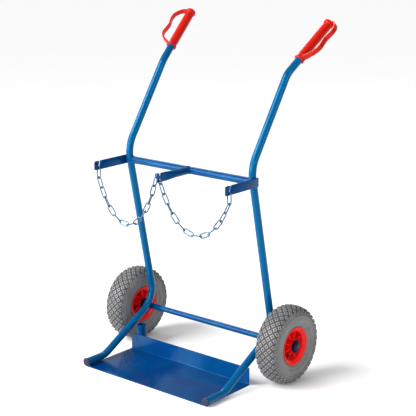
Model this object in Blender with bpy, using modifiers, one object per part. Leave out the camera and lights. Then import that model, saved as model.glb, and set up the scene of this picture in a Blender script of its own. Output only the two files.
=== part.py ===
"""Two-bottle oxy acetylene torch cart: bent tube frame, toe plate, pneumatic wheels, chains and grips.

Frame: X along the axle, -Y to the front where the bottles stand, +Z up, in metres.  The floor is
z = 0.  The sizes below are measured with the wheel axis at y = 0; at the end the whole cart moves back
by AXLE_SETBACK, which brings the origin under the middle of the cart.
"""
import math

import bmesh
import bpy
import numpy as np
from mathutils import Matrix, Vector

GAP = 0.0003  # clearance kept between pieces that touch
AXLE_SETBACK = 0.0317

# side tubes, each bent in its own upright plane
TUBE_RADIUS = 0.0125
TUBE_WALL = 0.002
HALF_TRACK = 0.262  # tube planes from the centre plane
PLATE_THICKNESS = 0.003
SKID_HEIGHT = PLATE_THICKNESS + GAP + TUBE_RADIUS
SKID_FRONT = -0.326
SKID_BEND = (-0.240, SKID_HEIGHT)  # (y, z) of each corner before it is rounded
AXLE_BEND = (0.014, 0.155)
UPPER_BEND = (-0.106, 0.721)
NECK_BEND = (0.075, 0.996)
HANDLE_END = (0.255, 1.1415)
HANDLE_SPLAY = 0.031  # the handles lean outward by this much at their ends
BEND_RADII = (0.080, 0.088, 0.100, 0.100)

# cross pieces and arms
CROSSBAR_HEIGHT = 0.6775
ARM_TIP = -0.252
ARM_ROOT = -0.090
ARM_HEIGHT = 0.030
ARM_THICKNESS = 0.005
SLOT_WIDTH = 0.0065
SLOT_DEPTH = 0.024
SLOT_FOOT = -0.233  # y of the slot's closed end
SLOT_LEAN = math.radians(14)
MIDDLE_SLOT_WIDTH = 0.009
MIDDLE_SLOT_DEPTH = 0.025
MIDDLE_SLOT_FOOT = -0.240
MIDDLE_SLOT_LEAN = math.radians(4)
PRESSED_THICKNESS = 0.006  # of the middle arm's flattened tip

# toe plate and rod holder
PLATE_HALF_WIDTH = 0.260
PLATE_BACK = -0.103
FLANGE_HEIGHT = 0.059
ROD_HOLDER_X = -0.230
ROD_HOLDER_RADIUS = 0.016
ROD_HOLDER_WALL = 0.002
ROD_HOLDER_Z = (0.012, 0.092)

# grips
GRIP_START = 0.064  # distances along the handle from the neck bend
GRIP_END = 0.241
GRIP_RADIUS = 0.0150
GRIP_BORE = 0.0129
GRIP_COLLAR = 0.0172
GRIP_HEAD = 0.0180
GUARD_TURN = math.radians(-15)
GUARD_THICKNESS = 0.005
GUARD_WIDTH = 0.016

# wheels
AXLE_RADIUS = 0.010
WHEEL_RADIUS = 0.130
WHEEL_X = 0.332
TYRE_HALF_WIDTH = 0.0425
RIM_FLANGE_RADIUS = 0.0635
RIM_BARREL = 0.050
HUB_RADIUS = 0.0215
BUSH_RADIUS = 0.0150
RIB_COUNT = 8
RUNNING_CLEARANCE = 0.00008  # radial, between axle and bush
VALVE_ANGLE = {-1: 193, 1: 225}  # degrees from +Y toward +Z

# chains
WIRE = 0.0043
LINK_INNER_LENGTH = 0.0347
LINK_INNER_WIDTH = 0.0095
LINK_PLAY = 0.0008
LEFT_LINKS = 13
RIGHT_LINKS = 12
LINK_FACING = (0.64, -0.77, 0.25)  # the way that every other link's flat side lies
RIGHT_CHAIN_TURN = math.radians(90)  # between the right chain's two hooks
END_LINK_LIFT = 0.001  # of the end links' inner top over the slot's floor
CENTRE_LINK_AT = (-0.0044, 0.6724)  # (x, z)
CENTRE_LINK_TILT = math.radians(57)  # long axis of the centre link above the horizontal
CHAIN_PULLS = (math.radians(80), math.radians(105))  # where each chain leaves the centre link


# ---------------------------------------------------------------- scene and materials
def clear_scene():
    for item in list(bpy.data.objects):
        bpy.data.objects.remove(item, do_unlink=True)


def make_collection(name):
    collection = bpy.data.collections.new(name)
    bpy.context.scene.collection.children.link(collection)
    return collection


def make_material(name, colour, roughness, metallic=0.0):
    material = bpy.data.materials.new(name)
    material.use_nodes = True
    shader = material.node_tree.nodes["Principled BSDF"]
    shader.inputs["Base Color"].default_value = (*colour, 1.0)
    shader.inputs["Roughness"].default_value = roughness
    shader.inputs["Metallic"].default_value = metallic
    return material


def make_empty(name, location, parent=None):
    empty = bpy.data.objects.new(name, None)
    empty.empty_display_size = 0.05
    empty.location = location
    empty.parent = parent
    PARTS.objects.link(empty)
    return empty


def add_object(name, data, material=None, parent=None, matrix=None):
    """Links an object for the data, placed by a world matrix, in the parts' collection."""
    item = bpy.data.objects.new(name, data)
    PARTS.objects.link(item)
    if material:
        data.materials.append(material)
    item.parent = parent
    if matrix is not None:
        base = Matrix.Translation(parent.location) if parent else Matrix.Identity(4)
        item.matrix_basis = base.inverted() @ matrix
    return item


def add_cutter(name, mesh, matrix=None):
    item = bpy.data.objects.new(name, mesh)
    CUTTERS.objects.link(item)
    item.hide_render = True
    item.display_type = "WIRE"
    if matrix is not None:
        item.matrix_world = matrix
    return item


def boolean(item, tool, operation="DIFFERENCE"):
    modifier = item.modifiers.new(operation.title(), "BOOLEAN")
    modifier.operation = operation
    modifier.object = tool
    modifier.solver = "EXACT"
    return modifier


def smooth(item, angle=35):
    item.data.shade_smooth()
    item.data.set_sharp_from_angle(angle=math.radians(angle))


def frame_matrix(origin, x_axis, y_axis, z_axis):
    """A world matrix whose columns are the given axes and origin."""
    columns = [Vector(x_axis), Vector(y_axis), Vector(z_axis), Vector(origin)]
    matrix = Matrix.Identity(4)
    for index, column in enumerate(columns):
        matrix.col[index].xyz = column
    return matrix


# ---------------------------------------------------------------- shape helpers
def rounded_path(corners, radii, steps):
    """The corners joined by straight runs, with each inner corner an arc of its radius."""
    points = [Vector(corners[0])]
    for index, (radius, count) in enumerate(zip(radii, steps), start=1):
        corner = Vector(corners[index])
        before = (Vector(corners[index - 1]) - corner).normalized()
        after = (Vector(corners[index + 1]) - corner).normalized()
        half = before.angle(after) / 2
        bisector = (before + after).normalized()
        centre = corner + bisector * radius / math.sin(half)
        start = corner + before * radius / math.tan(half) - centre
        turn_axis = start.cross(corner - centre).normalized()
        sweep = math.pi - 2 * half
        for step in range(count + 1):
            turn = Matrix.Rotation(sweep * step / count, 3, turn_axis)
            points.append(centre + turn @ start)
    points.append(Vector(corners[-1]))
    return points


def path_curve(name, points, radius, resolution=4, cyclic=False, caps=True):
    """A round bar or tube along a path, as a bevelled curve."""
    curve = bpy.data.curves.new(name, "CURVE")
    curve.dimensions = "3D"
    curve.bevel_depth = radius
    curve.bevel_resolution = resolution
    curve.use_fill_caps = caps
    spline = curve.splines.new("POLY")
    spline.points.add(len(points) - 1)
    for slot, point in zip(spline.points, points):
        slot.co = (*point, 1.0)
    spline.use_cyclic_u = cyclic
    return curve


def mesh_from_curve(curve):
    """The curve's closed surface as a mesh with its caps welded on."""
    guide = bpy.data.objects.new("guide", curve)
    PARTS.objects.link(guide)
    graph = bpy.context.evaluated_depsgraph_get()
    mesh = bpy.data.meshes.new_from_object(guide.evaluated_get(graph))
    bpy.data.objects.remove(guide, do_unlink=True)
    work = bmesh.new()
    work.from_mesh(mesh)
    bmesh.ops.remove_doubles(work, verts=work.verts, dist=1e-6)
    work.to_mesh(mesh)
    work.free()
    return mesh


def turned(name, profile, steps, material, matrix, parent=None, closed=True):
    """A profile of (radius, height) points turned about the local Z axis."""
    mesh = bpy.data.meshes.new(name)
    count = len(profile)
    edges = [(i, (i + 1) % count) for i in range(count if closed else count - 1)]
    mesh.from_pydata([(radius, 0.0, height) for radius, height in profile], edges, [])
    item = add_object(name, mesh, material, parent, matrix)
    screw = item.modifiers.new("Turn", "SCREW")
    screw.steps = steps
    screw.render_steps = steps
    screw.use_merge_vertices = True
    screw.merge_threshold = 0.00001
    screw.use_smooth_shade = True
    return item


def cylinder_mesh(name, radius, length, sides=24, caps=True):
    """A cylinder along local Z, centred on the origin; without caps it is an open tube."""
    mesh = bpy.data.meshes.new(name)
    work = bmesh.new()
    bmesh.ops.create_cone(
        work, cap_ends=caps, segments=sides, radius1=radius, radius2=radius, depth=length
    )
    work.to_mesh(mesh)
    work.free()
    return mesh


def outline_curve(name, points, thickness):
    """A closed flat outline in local XY, as a plate of the given thickness."""
    curve = bpy.data.curves.new(name, "CURVE")
    curve.dimensions = "2D"
    curve.fill_mode = "BOTH"
    curve.extrude = thickness / 2
    spline = curve.splines.new("POLY")
    spline.points.add(len(points) - 1)
    for slot, (x, y) in zip(spline.points, points):
        slot.co = (x, y, 0.0, 1.0)
    spline.use_cyclic_u = True
    return curve


def arc(centre, radius, start, end, steps):
    """Points of a flat arc, with the angles in degrees."""
    angles = [math.radians(start + (end - start) * i / steps) for i in range(steps + 1)]
    return [(centre[0] + radius * math.cos(a), centre[1] + radius * math.sin(a)) for a in angles]


# ---------------------------------------------------------------- frame
def side_path(side):
    """Centreline of one side tube from the skid's front end to the handle's end."""
    x = side * HALF_TRACK
    corners = [(x, SKID_FRONT, SKID_HEIGHT)]
    corners += [(x, *bend) for bend in (SKID_BEND, AXLE_BEND, UPPER_BEND, NECK_BEND)]
    corners.append((x + side * HANDLE_SPLAY, *HANDLE_END))
    return rounded_path(corners, BEND_RADII, (3, 7, 5, 3))


def tube_height_y(height):
    """y of the side tubes' middle run at a height."""
    share = (height - AXLE_BEND[1]) / (UPPER_BEND[1] - AXLE_BEND[1])
    return AXLE_BEND[0] + share * (UPPER_BEND[0] - AXLE_BEND[0])


def make_side_tube(side, label):
    """A hollow side tube, open at both ends."""
    curve = path_curve(f"frame_tube_{label}", side_path(side), TUBE_RADIUS, caps=False)
    item = add_object(f"frame_tube_{label}", curve, BLUE)
    wall = item.modifiers.new("Wall", "SOLIDIFY")
    wall.thickness = TUBE_WALL
    wall.offset = -1.0
    wall.use_rim = True
    curve.splines[0].use_smooth = True
    return item


def side_tube_cutter(side, label):
    curve = path_curve(f"cope_{label}", side_path(side), TUBE_RADIUS + GAP)
    return add_cutter(f"cope_{label}", mesh_from_curve(curve))


def make_crossbar():
    """The upper crossbar, its ends coped to the side tubes."""
    centre = Vector((0.0, tube_height_y(CROSSBAR_HEIGHT), CROSSBAR_HEIGHT))
    matrix = frame_matrix(centre, (0, 1, 0), (0, 0, 1), (1, 0, 0))
    mesh = cylinder_mesh("crossbar", TUBE_RADIUS, 2 * HALF_TRACK, sides=16, caps=False)
    item = add_object("crossbar", mesh, BLUE, matrix=matrix)
    wall = item.modifiers.new("Wall", "SOLIDIFY")
    wall.thickness = TUBE_WALL
    wall.offset = -1.0
    for side, label in ((-1, "left"), (1, "right")):
        boolean(item, side_tube_cutter(side, label))
    smooth(item)
    return centre


def make_axle():
    """The axle bar, behind the bends of the side tubes, with chamfered ends."""
    half = WHEEL_X + 0.0415
    chamfer = 0.0015
    profile = [
        (0.0, half),
        (AXLE_RADIUS - chamfer, half),
        (AXLE_RADIUS, half - chamfer),
        (AXLE_RADIUS, chamfer - half),
        (AXLE_RADIUS - chamfer, -half),
        (0.0, -half),
    ]
    matrix = frame_matrix((0, 0, WHEEL_RADIUS), (0, 1, 0), (0, 0, 1), (1, 0, 0))
    turned("axle_shaft", profile, 24, BLUE, matrix, closed=False)


def arm_outline():
    """Side outline of a slotted flat arm as (y, z - arm centre), tip at low y."""
    top = ARM_HEIGHT / 2
    foot = top - SLOT_DEPTH + SLOT_WIDTH / 2
    nose = 0.006
    lean = math.tan(SLOT_LEAN)
    half = SLOT_WIDTH / 2
    rise = top - foot
    outline = [(ARM_ROOT, -top), (ARM_ROOT, top)]
    outline.append((SLOT_FOOT + half + rise * lean, top))
    outline += arc((SLOT_FOOT, foot), half, 0, -180, 6)
    outline.append((SLOT_FOOT - half + rise * lean, top))
    outline += arc((ARM_TIP + nose, top - nose), nose, 90, 180, 4)
    outline += arc((ARM_TIP + nose, nose - top), nose, 180, 270, 4)
    return outline


def make_flat_arm(side, label):
    """A flat bar welded to the outer face of a side tube, with its hook slot at the tip."""
    curve = outline_curve(f"arm_{label}", arm_outline(), ARM_THICKNESS)
    x = side * (HALF_TRACK + TUBE_RADIUS + GAP + ARM_THICKNESS / 2)
    matrix = frame_matrix((x, 0, CROSSBAR_HEIGHT), (0, 1, 0), (0, 0, 1), (1, 0, 0))
    add_object(f"arm_{label}", curve, BLUE, matrix=matrix)


def section_ring(work, y, half_width, half_height, squareness, sides=16):
    """One loft section in a plane of constant y."""
    ring = []
    for index in range(sides):
        angle = 2 * math.pi * index / sides
        c, s = math.cos(angle), math.sin(angle)
        x = half_width * math.copysign(abs(c) ** squareness, c)
        z = half_height * math.copysign(abs(s) ** squareness, s)
        ring.append(work.verts.new((x, y, z)))
    return ring


def bridge(work, first, second):
    count = len(first)
    for i in range(count):
        j = (i + 1) % count
        work.faces.new((first[i], first[j], second[j], second[i]))


def make_middle_arm(bar_centre):
    """A tube from the crossbar whose tip is pressed flat and slotted."""
    root = bar_centre.y
    flat = PRESSED_THICKNESS / 2
    tall = ARM_HEIGHT / 2
    radius = TUBE_RADIUS
    bore = TUBE_RADIUS - TUBE_WALL
    outer_sections = [
        (root, radius, radius, 1.0),
        (-0.180, radius, radius, 1.0),
        (-0.192, 0.0098, 0.0135, 0.9),
        (-0.206, 0.0048, 0.0147, 0.7),
        (-0.216, flat, tall, 0.55),
        (ARM_TIP + 0.004, flat, tall, 0.55),
        (ARM_TIP, flat * 0.8, tall - 0.005, 0.55),
    ]
    bore_sections = [(root, bore, bore, 1.0), (-0.178, bore, bore, 1.0), (-0.186, 0.006, 0.006, 1.0)]
    mesh = bpy.data.meshes.new("arm_middle")
    work = bmesh.new()
    outer = [section_ring(work, *section) for section in outer_sections]
    inner = [section_ring(work, *section) for section in bore_sections]
    for first, second in zip(outer, outer[1:]):
        bridge(work, first, second)
    work.faces.new(outer[-1])
    for first, second in zip(inner, inner[1:]):
        bridge(work, second, first)
    work.faces.new(list(reversed(inner[-1])))
    bridge(work, inner[0], outer[0])
    bmesh.ops.recalc_face_normals(work, faces=work.faces)
    work.to_mesh(mesh)
    work.free()
    matrix = Matrix.Translation((0, 0, CROSSBAR_HEIGHT))
    item = add_object("arm_middle", mesh, BLUE, matrix=matrix)

    cope = cylinder_mesh("cope_middle", TUBE_RADIUS + GAP, 0.08, sides=16)
    along_x = frame_matrix(bar_centre, (0, 1, 0), (0, 0, 1), (1, 0, 0))
    boolean(item, add_cutter("cope_middle", cope, along_x))

    half = MIDDLE_SLOT_WIDTH / 2
    foot = ARM_HEIGHT / 2 - MIDDLE_SLOT_DEPTH + half
    outline = arc((0, 0), half, 0, -180, 6)
    outline += [(-half, 0.04), (half, 0.04)]
    slot = mesh_from_curve(outline_curve("slot_middle", outline, 0.04))
    centre = Vector((0, MIDDLE_SLOT_FOOT, CROSSBAR_HEIGHT + foot))
    along = Vector((0, math.sin(MIDDLE_SLOT_LEAN), math.cos(MIDDLE_SLOT_LEAN)))
    across = Vector((0, math.cos(MIDDLE_SLOT_LEAN), -math.sin(MIDDLE_SLOT_LEAN)))
    boolean(item, add_cutter("slot_middle", slot, frame_matrix(centre, across, along, (1, 0, 0))))
    smooth(item)


def make_toe_plate():
    """The toe plate: one sheet with its back edge bent up into a flange."""
    t = PLATE_THICKNESS
    outer = 0.006
    corner = (PLATE_BACK - outer, outer)
    outline = [(SKID_FRONT, t), (SKID_FRONT, 0.0)]
    outline += arc(corner, outer, -90, 0, 5)
    outline += [(PLATE_BACK, FLANGE_HEIGHT), (PLATE_BACK - t, FLANGE_HEIGHT)]
    outline += arc(corner, outer - t, 0, -90, 5)
    curve = outline_curve("toe_plate", outline, 2 * PLATE_HALF_WIDTH)
    matrix = frame_matrix((0, 0, 0), (0, 1, 0), (0, 0, 1), (1, 0, 0))
    add_object("toe_plate", curve, BLUE, matrix=matrix)


def make_rod_holder():
    """An open-topped cup for filler rods behind the plate's flange."""
    low, high = ROD_HOLDER_Z
    bore = ROD_HOLDER_RADIUS - ROD_HOLDER_WALL
    profile = [
        (0.0, low + ROD_HOLDER_WALL),
        (bore, low + ROD_HOLDER_WALL),
        (bore, high),
        (ROD_HOLDER_RADIUS, high),
        (ROD_HOLDER_RADIUS, low),
        (0.0, low),
    ]
    place = Matrix.Translation((ROD_HOLDER_X, PLATE_BACK + GAP + ROD_HOLDER_RADIUS, 0))
    turned("rod_holder", profile, 20, BLUE, place, closed=False)


def make_end_plug(side, label):
    """A plastic plug pushed into the open front end of a skid."""
    head = 0.0145
    stub = 0.0095
    length = 0.014
    profile = [
        (0.0, 0.0050),
        (0.0080, 0.0046),
        (0.0125, 0.0036),
        (head, 0.0016),
        (head, GAP),
        (stub, GAP),
        (stub - 0.0006, -length),
        (0.0, -length),
    ]
    origin = (side * HALF_TRACK, SKID_FRONT, SKID_HEIGHT)
    matrix = frame_matrix(origin, (1, 0, 0), (0, 0, 1), (0, -1, 0))
    turned(f"end_plug_{label}", profile, 16, PLUG_BLACK, matrix, closed=False)


# ---------------------------------------------------------------- grips
def handle_frame(side):
    """Origin at the neck bend, Z along the handle, X the way the knuckle guard points."""
    start = Vector((side * HALF_TRACK, *NECK_BEND))
    end = Vector((side * (HALF_TRACK + HANDLE_SPLAY), *HANDLE_END))
    along = (end - start).normalized()
    outward = Vector((side, 0, 0))
    outward = (outward - along * outward.dot(along)).normalized()
    third = along.cross(outward)
    guard = outward * math.cos(GUARD_TURN) + third * math.sin(GUARD_TURN) * side
    return frame_matrix(start, guard, along.cross(guard), along)


def smooth_line(points, steps):
    """A Catmull-Rom line through the points."""
    padded = [points[0], *points, points[-1]]
    line = []
    for a, b, c, d in zip(padded, padded[1:], padded[2:], padded[3:]):
        a, b, c, d = (np.array(p, float) for p in (a, b, c, d))
        for i in range(steps):
            t = i / steps
            line.append(
                0.5 * (2 * b + (c - a) * t + (2 * a - 5 * b + 4 * c - d) * t**2
                       + (3 * b - a - 3 * c + d) * t**3)
            )
    line.append(np.array(points[-1], float))
    return line


def guard_outline():
    """The knuckle guard's band as (distance from the handle axis, distance along it)."""
    middle = smooth_line(
        [
            (0.0135, 0.2350),
            (0.0390, 0.2240),
            (0.0530, 0.2050),
            (0.0530, 0.1830),
            (0.0488, 0.1620),
            (0.0512, 0.1400),
            (0.0540, 0.1200),
            (0.0440, 0.0970),
            (0.0135, 0.0735),
        ],
        2,
    )
    tangents = np.gradient(np.array(middle), axis=0)
    tangents /= np.linalg.norm(tangents, axis=1)[:, None]
    normals = np.stack([-tangents[:, 1], tangents[:, 0]], axis=1)
    half = GUARD_THICKNESS / 2
    outer = [tuple(p + n * half) for p, n in zip(middle, normals)]
    inner = [tuple(p - n * half) for p, n in zip(middle, normals)]
    return outer + inner[::-1]


def make_grip(side, label):
    """A moulded grip: sleeve, collar, domed head and knuckle guard in one piece."""
    matrix = handle_frame(side)
    profile = [
        (0.0, GRIP_END),
        (0.0090, GRIP_END - 0.0008),
        (0.0150, GRIP_END - 0.0036),
        (GRIP_HEAD, GRIP_END - 0.0080),
        (GRIP_HEAD - 0.0006, GRIP_END - 0.0135),
        (GRIP_RADIUS, GRIP_END - 0.0160),
        (GRIP_RADIUS, GRIP_START + 0.0080),
        (GRIP_COLLAR, GRIP_START + 0.0060),
        (GRIP_COLLAR, GRIP_START),
        (0.0, GRIP_START),
    ]
    item = turned(f"grip_{label}", profile, 16, GRIP_RED, matrix, closed=False)
    band = mesh_from_curve(outline_curve(f"guard_{label}", guard_outline(), GUARD_WIDTH))
    stand = matrix @ Matrix.Rotation(math.radians(90), 4, "X")
    boolean(item, add_cutter(f"guard_{label}", band, stand), "UNION")
    length = (Vector((HANDLE_SPLAY, *HANDLE_END)) - Vector((0, *NECK_BEND))).length
    bore = cylinder_mesh(f"bore_{label}", GRIP_BORE, length, sides=16)
    shift = Matrix.Translation((0, 0, length / 2 + GAP))
    boolean(item, add_cutter(f"bore_{label}", bore, matrix @ shift))


# ---------------------------------------------------------------- wheels
def wheel_matrix(side, facing=1):
    """Z runs along the axle from the wheel's middle plane, toward +X, or toward -X if facing is -1.

    Local X points at the valve.
    """
    centre = (side * WHEEL_X, 0, WHEEL_RADIUS)
    turn = Matrix.Rotation(math.radians(VALVE_ANGLE[side]), 4, "Z")
    matrix = frame_matrix(centre, (0, 1, 0), (0, 0, 1), (1, 0, 0)) @ turn
    return matrix if facing > 0 else matrix @ Matrix.Rotation(math.pi, 4, "X")


def tyre_profile():
    """The tyre's closed section: beads, sidewalls and tread, and the air tube's space inside."""
    outside = [
        (0.0505, 0.0205),
        (0.0530, 0.0254),
        (0.0602, 0.0300),
        (0.0641, 0.0322),
        (0.0660, 0.0352),
        (0.0720, 0.0392),
        (0.0850, 0.0418),
        (0.0990, TYRE_HALF_WIDTH),
        (0.1120, 0.0400),
        (0.1215, 0.0340),
        (0.1275, 0.0220),
        (WHEEL_RADIUS, 0.0),
    ]
    inside = [
        (0.1225, 0.0),
        (0.1190, 0.0200),
        (0.1100, 0.0315),
        (0.0950, 0.0350),
        (0.0720, 0.0300),
        (0.0600, 0.0225),
        (0.0505, 0.0170),
    ]
    front = outside + [(r, -z) for r, z in outside[-2::-1]]
    back = [(r, -z) for r, z in inside[::-1]] + inside[1:]
    return front + back


def make_tyre(side, label, hub):
    turned(f"tyre_{label}", tyre_profile(), 32, RUBBER, wheel_matrix(side), hub)


def make_inner_tube(side, label, hub):
    """The air tube: a hollow ring, open where its valve leaves it."""
    major = 0.0870
    half_height, half_width = 0.0250, 0.0215
    around, about = 20, 8
    mesh = bpy.data.meshes.new(f"inner_tube_{label}")
    work = bmesh.new()
    rings = []
    for i in range(around):
        turn = 2 * math.pi * (i + 0.5) / around
        ring = []
        for j in range(about):
            angle = 2 * math.pi * (j + 0.5) / about
            radius = major + half_height * math.cos(angle)
            place = (radius * math.cos(turn), radius * math.sin(turn), half_width * math.sin(angle))
            ring.append(work.verts.new(place))
        rings.append(ring)
    valve_face = (around - 1, about // 2 - 1)
    for i in range(around):
        for j in range(about):
            if (i, j) != valve_face:
                a, b = rings[i], rings[(i + 1) % around]
                k = (j + 1) % about
                work.faces.new((a[j], b[j], b[k], a[k]))
    work.to_mesh(mesh)
    work.free()
    item = add_object(f"inner_tube_{label}", mesh, BLACK_RUBBER, hub, wheel_matrix(side))
    wall = item.modifiers.new("Wall", "SOLIDIFY")
    wall.thickness = 0.0015
    wall.offset = -1.0
    smooth(item, 60)


def rim_profile():
    """One rim half as (radius, outward distance): bead flange, barrel, dished web and hub."""
    edge = RIM_FLANGE_RADIUS
    return [
        (edge, 0.0345),
        (edge - 0.0020, 0.0345),
        (0.0530, 0.0305),
        (0.0475, 0.0225),
        (0.0450, 0.0050),
        (HUB_RADIUS + 0.0010, 0.0055),
        (HUB_RADIUS, 0.0340),
        (BUSH_RADIUS + GAP, 0.0340),
        (BUSH_RADIUS + GAP, GAP / 2),
        (RIM_BARREL, GAP / 2),
        (RIM_BARREL, 0.0215),
        (0.0525, 0.0265),
        (0.0600, 0.0310),
        (edge, 0.0332),
    ]


def make_rim_half(side, facing, name, hub):
    """A rim half with radial ribs in its dish; the +X half has the valve's hole."""
    matrix = wheel_matrix(side, facing)
    item = turned(name, rim_profile(), 24, RIM_RED, matrix, hub)
    mesh = bpy.data.meshes.new(f"{name}_ribs")
    work = bmesh.new()
    for index in range(RIB_COUNT):
        turn = Matrix.Rotation(2 * math.pi * (index + 0.5) / RIB_COUNT, 4, "Z")
        size = Matrix.Diagonal((0.0270, 0.0040, 0.0170, 1.0))
        place = turn @ Matrix.Translation((0.0340, 0, 0.0120)) @ size
        bmesh.ops.create_cube(work, size=1.0, matrix=place)
    work.to_mesh(mesh)
    work.free()
    boolean(item, add_cutter(f"{name}_ribs", mesh, matrix), "UNION")
    if facing > 0:
        hole = cylinder_mesh(f"{name}_valve_hole", 0.0045, 0.05, sides=10)
        boolean(item, add_cutter(f"{name}_valve_hole", hole, valve_matrix(side)))


def valve_matrix(side):
    """Z runs along the valve stem, from just outside the rim's barrel into its dish."""
    lean = Matrix.Rotation(math.radians(-39), 4, "Y")
    return wheel_matrix(side) @ Matrix.Translation((0.0515, 0, 0.0080)) @ lean


def make_valve(side, label, hub):
    """A rubber-sheathed valve stem with its cap."""
    profile = [
        (0.0, 0.0285),
        (0.0026, 0.0282),
        (0.0034, 0.0265),
        (0.0034, 0.0190),
        (0.0028, 0.0185),
        (0.0028, 0.0150),
        (0.0040, 0.0140),
        (0.0040, 0.0),
        (0.0, 0.0),
    ]
    turned(f"valve_{label}", profile, 10, BLACK_RUBBER, valve_matrix(side), hub, closed=False)


def make_bush(side, facing, name, hub):
    """A flanged plain bearing pressed into one end of the hub."""
    bore = AXLE_RADIUS + RUNNING_CLEARANCE
    flange = 0.0218
    profile = [
        (bore, 0.0368),
        (flange - 0.0015, 0.0368),
        (flange, 0.0356),
        (flange, 0.0343),
        (BUSH_RADIUS, 0.0343),
        (BUSH_RADIUS, 0.0080),
        (bore, 0.0080),
    ]
    turned(name, profile, 24, BLACK_PLASTIC, wheel_matrix(side, facing), hub)


def make_washer(side, label):
    """A plastic washer between the outer bush and the cap."""
    bore = AXLE_RADIUS + GAP
    profile = [(bore, 0.0383), (0.0160, 0.0383), (0.0160, 0.0371), (bore, 0.0371)]
    turned(f"washer_{label}", profile, 24, BLACK_PLASTIC, wheel_matrix(side, side))


def make_axle_cap(side, label):
    """A push-on cap that grips the axle's end and keeps the wheel on."""
    bore = AXLE_RADIUS + GAP
    profile = [
        (0.0, 0.0444),
        (0.0075, 0.0438),
        (0.0112, 0.0424),
        (0.0122, 0.0400),
        (0.0142, 0.0398),
        (0.0142, 0.0386),
        (bore, 0.0386),
        (bore, 0.0420),
        (0.0, 0.0420),
    ]
    turned(f"axle_cap_{label}", profile, 20, CAP_BLACK, wheel_matrix(side, side), closed=False)


def make_wheel(side, label):
    hub = make_empty(f"wheel_{label}_axis", (side * WHEEL_X, 0, WHEEL_RADIUS))
    make_tyre(side, label, hub)
    make_inner_tube(side, label, hub)
    make_rim_half(side, side, f"rim_outer_{label}", hub)
    make_rim_half(side, -side, f"rim_inner_{label}", hub)
    make_valve(side, label, hub)
    make_bush(side, side, f"bush_outer_{label}", hub)
    make_bush(side, -side, f"bush_inner_{label}", hub)
    make_washer(side, label)
    make_axle_cap(side, label)


# ---------------------------------------------------------------- chains
def link_pitch():
    return LINK_INNER_LENGTH - LINK_PLAY


def link_points():
    """Centreline of one link in local XY, its long axis along X."""
    bend = (LINK_INNER_WIDTH + WIRE) / 2
    half = (LINK_INNER_LENGTH + WIRE) / 2 - bend
    line = arc((half, 0), bend, -90, 90, 6) + arc((-half, 0), bend, 90, 270, 6)
    return [(x, y, 0.0) for x, y in line]


def make_link(name, centre, along, across, material, parent=None):
    """One chain link: its long axis and its width axis are given."""
    along = Vector(along).normalized()
    across = Vector(across)
    across = (across - along * across.dot(along)).normalized()
    curve = path_curve(name, link_points(), WIRE / 2, resolution=1, cyclic=True)
    matrix = frame_matrix(centre, along, across, along.cross(across))
    add_object(name, curve, material, parent, matrix)


def hanging_joints(start, end, count):
    """Joints of a chain of equal links hanging between two points under its own weight."""
    start, end = Vector(start), Vector(end)
    run = Vector((end.x - start.x, end.y - start.y, 0))
    span, rise = run.length, end.z - start.z
    pitch = link_pitch()

    def slopes(pull, tilt):
        return [math.atan((k - (count - 1) / 2 + tilt) / pull) for k in range(count)]

    def solve(low, high, wanted, value):
        for _ in range(60):
            middle = (low + high) / 2
            if value(middle) < wanted:
                low = middle
            else:
                high = middle
        return (low + high) / 2

    def tilt_for(pull):
        def lift(tilt):
            return sum(pitch * math.sin(a) for a in slopes(pull, tilt))

        return solve(-count, count, rise, lift)

    def reach(pull):
        return sum(pitch * math.cos(a) for a in slopes(pull, tilt_for(pull)))

    pull = solve(0.05, 60.0, span, reach)
    joints = [start]
    for angle in slopes(pull, tilt_for(pull)):
        step = run.normalized() * math.cos(angle) + Vector((0, 0, math.sin(angle)))
        joints.append(joints[-1] + step * pitch)
    return joints


def facing_turn(along, side):
    """The turn about a link's length from the chain's own plane to lie flat to LINK_FACING."""
    flat = along.cross(Vector(LINK_FACING)).normalized()
    if flat.dot(side) < 0:
        flat = -flat
    return math.atan2(side.cross(flat).dot(along), side.dot(flat))


def make_hanging_links(label, start, end, count, last_turn):
    """The free links of one chain, each a quarter turn from the last.

    All lie flat or square to LINK_FACING, except the outer ones at each end, which turn to their hooks.
    """
    pivot = (Vector(start) + Vector(end)) / 2
    holder = make_empty(f"chain_{label}_axis", pivot)
    joints = hanging_joints(start, end, count)
    for index, (near, far) in enumerate(zip(joints, joints[1:])):
        along = (far - near).normalized()
        side = along.cross(Vector((0, 0, 1)).cross(along)).normalized()
        free = min(1, index / 3, (count - 1 - index) / 3)
        hook_turn = 0 if index < count / 2 else last_turn
        turn = free * facing_turn(along, side) + (1 - free) * hook_turn
        roll = math.pi / 2 * (index + 1) + turn
        across = Matrix.Rotation(roll, 3, along) @ side
        make_link(f"link_{label}_{index + 1:02d}", (near + far) / 2, along, across, ZINC, holder)


def end_link_centre(side):
    """Centre of the link that hangs in an outer arm's slot."""
    x = side * (HALF_TRACK + TUBE_RADIUS + GAP + ARM_THICKNESS / 2)
    slot_floor = CROSSBAR_HEIGHT + ARM_HEIGHT / 2 - SLOT_DEPTH
    return Vector((x, SLOT_FOOT, slot_floor + END_LINK_LIFT - LINK_INNER_LENGTH / 2))


def hooked_joint(bend_centre, seat, pull):
    """Where a link pulls on another link's bend: seat is the side of the bend that it rests on."""
    inner_radius = LINK_INNER_WIDTH / 2
    wire_centre = bend_centre + seat * (inner_radius - WIRE / 2 - LINK_PLAY)
    return wire_centre + pull * (WIRE / 2 + LINK_PLAY / 2)


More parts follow.
